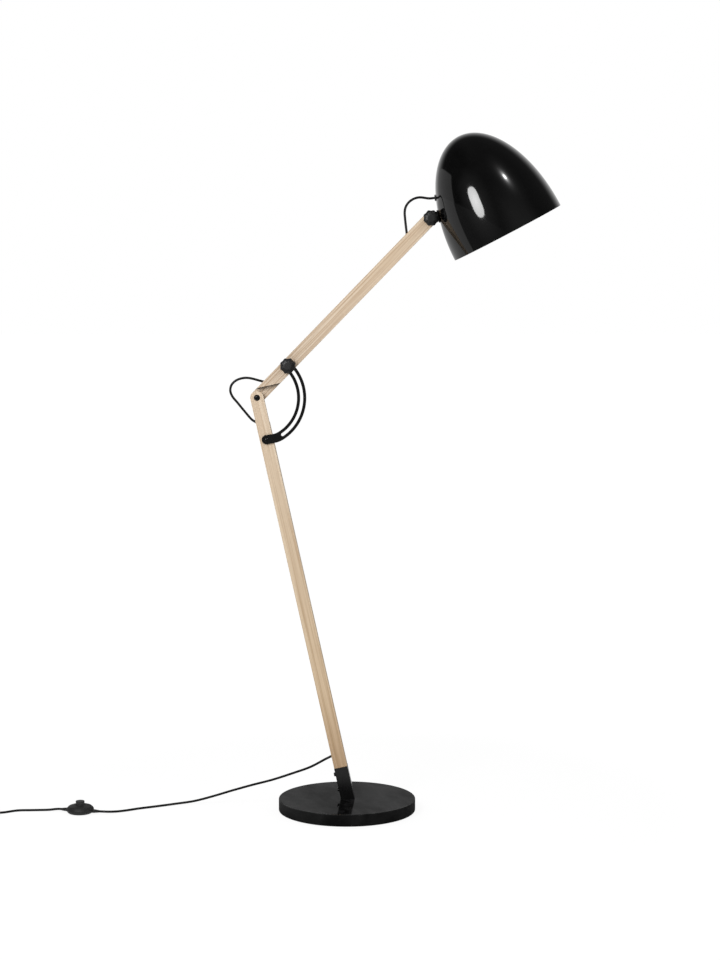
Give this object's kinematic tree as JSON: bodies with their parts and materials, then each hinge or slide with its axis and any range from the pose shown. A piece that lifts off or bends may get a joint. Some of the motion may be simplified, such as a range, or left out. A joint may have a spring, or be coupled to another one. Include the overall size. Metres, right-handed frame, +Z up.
{
  "type": "floor lamp",
  "caption": "Floor lamp with a leaning wooden post, folding wooden arm clamped on a slotted arc plate, tilting black dome shade, round stone base and a cord with a foot switch.",
  "frame": {"origin": "on the floor under the centre of the round base", "axes": "+Z up; +X towards the shade, in the plane that the post and the arm share; -Y is the front, where the knobs are"},
  "size_m": [1.4443, 0.3, 1.4753],
  "materials": {
    "stone": "polished black with faint pale veins",
    "felt": "dark felt",
    "steel": "zinc-plated",
    "black_steel": "satin black",
    "post_wood": "matt oiled pale wood",
    "arm_wood": "matt oiled pale wood",
    "knob_plastic": "satin dark grey",
    "cord_sheath": "satin black",
    "shade_paint": "gloss black outside, white inside",
    "holder_plastic": "black",
    "brass": "plain",
    "bulb_glass": "opal white",
    "nylon": "natural white",
    "soft_rubber": "matt black",
    "switch_plastic": "dark grey",
    "tie": "black",
    "plug_plastic": "black"
  },
  "bodies": {
    "base": {"marble_base": "stone", "base_felt": "felt", "base_bolt": "steel", "base_washer": "steel", "post_socket": "black_steel", "socket_screws": "black_steel", "post": "post_wood", "cord_in_post": "cord_sheath", "arc_plate": "black_steel", "arc_screw": "black_steel", "arc_spacer": "steel", "elbow_bolt": "black_steel", "elbow_washer": "nylon", "elbow_back_washer": "steel", "elbow_nut": "black_steel", "elbow_cord": "cord_sheath", "floor_cord": "cord_sheath", "switch_base": "switch_plastic", "switch_cover": "switch_plastic", "switch_screws": "steel", "switch_spring": "steel", "switch_reliefs": "soft_rubber", "switch_cord": "cord_sheath", "cord_coil": "cord_sheath", "coil_tie": "tie", "plug_cord": "cord_sheath", "plug_relief_sleeve": "soft_rubber", "plug_body": "plug_plastic", "plug_pins": "steel"},
    "arm": {"arm": "arm_wood", "cord_in_arm": "cord_sheath", "elbow_clamp_bolt": "black_steel", "elbow_clamp_washers": "steel", "head_clamp_bolt": "black_steel", "head_washer": "steel", "head_cord": "cord_sheath"},
    "head": {"shade": "shade_paint", "shade_bracket": "black_steel", "bracket_screws": "steel", "holder_strap": "steel", "holder_nipple": "brass", "holder_nut": "steel", "holder_cap": "holder_plastic", "holder_sleeve": "holder_plastic", "bulb_cap": "steel", "bulb_globe": "bulb_glass", "shade_grommet": "soft_rubber", "cord_in_shade": "cord_sheath"},
    "elbow_knob": {"elbow_knob": "knob_plastic"},
    "head_knob": {"head_knob": "knob_plastic"},
    "switch_button": {"switch_button": "switch_plastic"}
  },
  "joints": [
    {"name": "elbow", "type": "hinge", "parent": "base", "child": "arm", "pos_m": [-0.19345, 0, 0.9096], "axis": [0, 1, 0], "range_deg": [0, 90], "deforming": ["elbow_cord"]},
    {"name": "head_tilt", "type": "hinge", "parent": "arm", "child": "head", "pos_m": [0.18024, 0, 1.29386], "axis": [0, 1, 0], "range_deg": [-65, 45], "deforming": ["head_cord"]},
    {"name": "elbow_knob_turn", "type": "hinge", "parent": "arm", "child": "elbow_knob", "pos_m": [-0.12617, 0, 0.97878], "axis": [0, 1, 0], "range_deg": [0, 360]},
    {"name": "head_knob_turn", "type": "hinge", "parent": "arm", "child": "head_knob", "pos_m": [0.18024, 0, 1.29386], "axis": [0, 1, 0], "range_deg": [0, 360]},
    {"name": "switch_press", "type": "slide", "parent": "base", "child": "switch_button", "axis": [0, 0, -1], "range_m": [0, 0.004], "stiffness_N_per_m": 1000, "springref_m": -0.002, "deforming": ["switch_spring"]}
  ]
}
